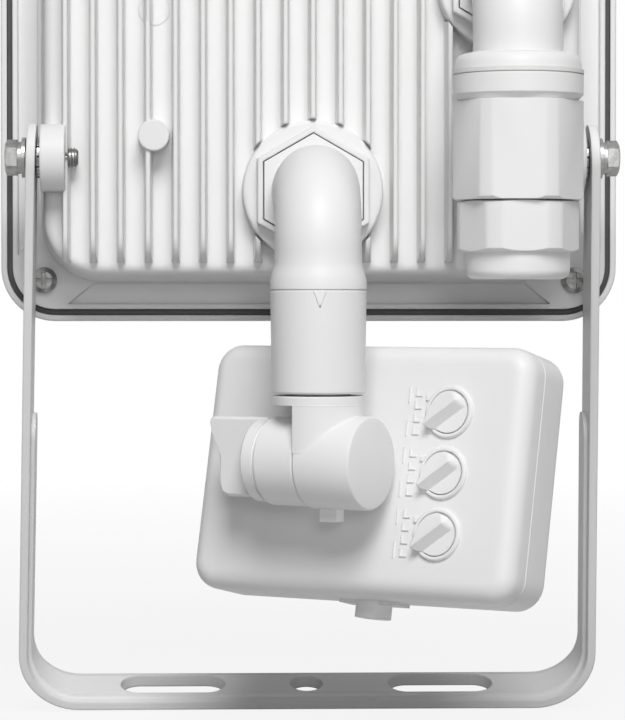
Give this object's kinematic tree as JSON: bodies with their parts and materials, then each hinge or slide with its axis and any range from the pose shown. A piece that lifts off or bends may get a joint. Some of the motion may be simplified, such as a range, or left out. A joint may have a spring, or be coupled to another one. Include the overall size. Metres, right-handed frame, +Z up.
{
  "type": "motion sensor floodlight",
  "caption": "Slim floodlight with a finned cast back, a swinging U bracket, a cable gland and a motion sensor head on a bent arm with a knuckle and turning dials.",
  "frame": {"origin": "centre of the middle hole in the bracket's base, on its outer face", "axes": "+Z up along the lamp's back, +Y towards the lit side, +X along the bracket's base"},
  "size_m": [0.143, 0.1039, 0.2047],
  "materials": {
    "white_paint": "satin powder coat",
    "white_plastic": "fine satin",
    "zinc_steel": "bright zinc",
    "screw_steel": "dull zinc",
    "clear_glass": "clear",
    "grey_rubber": "matt",
    "white_rubber": "matt",
    "board_white": "satin",
    "led_phosphor": "matt",
    "reflector_white": "gloss",
    "driver_case": "matt",
    "terminal_plastic": "matt",
    "lens_plastic": "milky",
    "board_green": "solder mask",
    "can_steel": "satin",
    "trimmer_blue": "matt"
  },
  "bodies": {
    "bracket": {"bracket": "white_paint"},
    "lamp": {"rear_housing": "white_paint", "front_frame": "white_paint", "front_glass": "clear_glass", "glass_seal": "grey_rubber", "led_board": "board_white", "led_chips": "led_phosphor", "reflector": "reflector_white", "driver": "driver_case", "wire_terminals": "terminal_plastic", "corner_screw_low_right": "screw_steel", "corner_screw_high_right": "screw_steel", "corner_screw_low_left": "screw_steel", "corner_screw_high_left": "screw_steel", "pivot_bolt_right": "zinc_steel", "flat_washer_right": "zinc_steel", "spring_washer_right": "zinc_steel", "tooth_washer_right": "zinc_steel", "pivot_bolt_left": "zinc_steel", "flat_washer_left": "zinc_steel", "spring_washer_left": "zinc_steel", "tooth_washer_left": "zinc_steel", "inlet_elbow": "white_plastic", "arm_elbow": "white_plastic", "gland_o_ring": "white_rubber", "coupling_collar": "white_plastic", "gland_nut": "white_plastic", "gland_seal": "grey_rubber", "arm_sleeve": "white_plastic"},
    "knuckle": {"knuckle_fork": "white_plastic"},
    "wing": {"wing_knob": "white_plastic"},
    "head": {"sensor_rear_cover": "white_plastic", "sensor_front_shell": "white_plastic", "sensor_lens": "lens_plastic", "sensor_board": "board_green", "pyro_sensor": "can_steel", "trimmer_low": "trimmer_blue", "trimmer_middle": "trimmer_blue", "trimmer_top": "trimmer_blue", "bottom_cap": "white_plastic"},
    "dial_low": {"dial_low": "white_plastic"},
    "dial_middle": {"dial_middle": "white_plastic"},
    "dial_top": {"dial_top": "white_plastic"}
  },
  "joints": [
    {"name": "lamp_tilt", "type": "hinge", "parent": "bracket", "child": "lamp", "pos_m": [0, -0.04617, 0.12686], "axis": [1, 0, 0], "range_deg": [0, 130]},
    {"name": "sensor_pan", "type": "hinge", "parent": "lamp", "child": "knuckle", "pos_m": [0, -0.08097, 0.06046], "axis": [0, 0, 1], "range_deg": [-56, 120]},
    {"name": "sensor_tilt", "type": "hinge", "parent": "knuckle", "child": "head", "pos_m": [0, -0.08097, 0.06046], "axis": [0.8329, -0.5534, 0], "range_deg": [-12, 12]},
    {"name": "wing_turn", "type": "hinge", "parent": "knuckle", "child": "wing", "pos_m": [0, -0.08097, 0.06046], "axis": [0.8329, -0.5534, 0], "range_deg": [-180, 180]},
    {"name": "dial_low_turn", "type": "hinge", "parent": "head", "child": "dial_low", "pos_m": [0.02499, -0.08673, 0.04525], "axis": [-0.5413, -0.8147, 0.2079], "range_deg": [-100, 170]},
    {"name": "dial_middle_turn", "type": "hinge", "parent": "head", "child": "dial_middle", "pos_m": [0.02651, -0.08444, 0.05816], "axis": [-0.5413, -0.8147, 0.2079], "range_deg": [-100, 170]},
    {"name": "dial_top_turn", "type": "hinge", "parent": "head", "child": "dial_top", "pos_m": [0.02803, -0.08216, 0.07107], "axis": [-0.5413, -0.8147, 0.2079], "range_deg": [-100, 170]}
  ]
}
